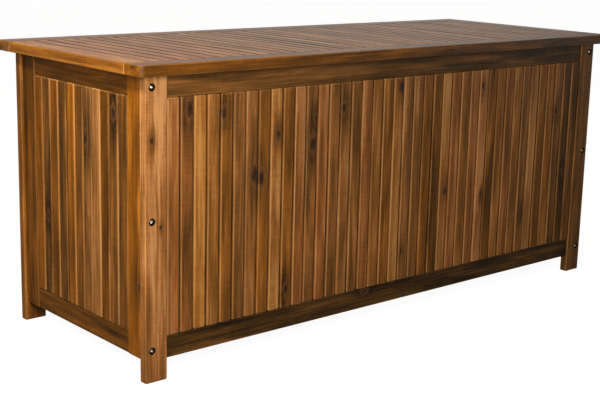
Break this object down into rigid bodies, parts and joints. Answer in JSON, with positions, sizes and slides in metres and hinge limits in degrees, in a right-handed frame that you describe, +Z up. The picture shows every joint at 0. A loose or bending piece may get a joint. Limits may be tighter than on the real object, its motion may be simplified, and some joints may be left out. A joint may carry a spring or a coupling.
{
  "type": "deck storage box",
  "caption": "Slatted hardwood deck storage box on four board legs, with frame-and-slat walls, a slatted floor and an overhanging lid hinged along the rear.",
  "frame": {"origin": "on the ground under the middle of the box", "axes": "+Z up, +X to the box's right along its length seen from the front, +Y towards the rear where the hinges are"},
  "size_m": [1.28, 0.5, 0.56],
  "materials": {
    "leg_wood": "oiled hardwood, satin, warm golden brown",
    "rail_wood": "oiled hardwood, satin, darker brown",
    "slat_wood": "oiled hardwood, satin, tone varying from slat to slat",
    "lid_wood": "oiled hardwood, satin, greyer brown on top",
    "inner_wood": "planed hardwood, unoiled",
    "dowel_wood": "beech dowel",
    "zinc": "bright zinc plated",
    "hinge_steel": "antique bronze plated steel",
    "brass": "plain brass"
  },
  "bodies": {
    "box": {"leg_front_left": "leg_wood", "leg_front_right": "leg_wood", "leg_rear_left": "leg_wood", "leg_rear_right": "leg_wood", "front_top_rail": "rail_wood", "front_bottom_rail": "rail_wood", "front_middle_batten": "inner_wood", "front_slats": "slat_wood", "rear_top_rail": "rail_wood", "rear_bottom_rail": "rail_wood", "rear_middle_batten": "inner_wood", "rear_slats": "slat_wood", "left_front_stile": "leg_wood", "left_rear_stile": "leg_wood", "left_top_rail": "rail_wood", "left_bottom_rail": "rail_wood", "left_middle_batten": "inner_wood", "left_slats": "slat_wood", "right_front_stile": "leg_wood", "right_rear_stile": "leg_wood", "right_top_rail": "rail_wood", "right_bottom_rail": "rail_wood", "right_middle_batten": "inner_wood", "right_slats": "slat_wood", "floor_bearer_front": "inner_wood", "floor_bearer_middle": "inner_wood", "floor_bearer_rear": "inner_wood", "floor_boards": "inner_wood", "frame_bolts": "zinc", "insert_nuts": "brass", "bearer_screws": "zinc", "bearer_dowels": "dowel_wood", "floor_screws": "zinc", "hinge_body_leaf_left": "hinge_steel", "hinge_body_leaf_middle": "hinge_steel", "hinge_body_leaf_right": "hinge_steel", "hinge_pin_left": "brass", "hinge_pin_middle": "brass", "hinge_pin_right": "brass", "hinge_body_screws": "brass"},
    "lid": {"lid_front_rail": "lid_wood", "lid_rear_rail": "lid_wood", "lid_left_rail": "lid_wood", "lid_right_rail": "lid_wood", "lid_slats": "lid_wood", "lid_front_batten": "inner_wood", "lid_rear_batten": "inner_wood", "lid_batten_screws": "zinc", "lid_dowels": "dowel_wood", "hinge_lid_leaf_left": "hinge_steel", "hinge_lid_leaf_middle": "hinge_steel", "hinge_lid_leaf_right": "hinge_steel", "hinge_lid_screws": "brass"}
  },
  "joints": [
    {"name": "lid_hinge", "type": "hinge", "parent": "box", "child": "lid", "pos_m": [0, 0.2252, 0.5362], "axis": [-1, 0, 0], "range_deg": [0, 98]}
  ]
}
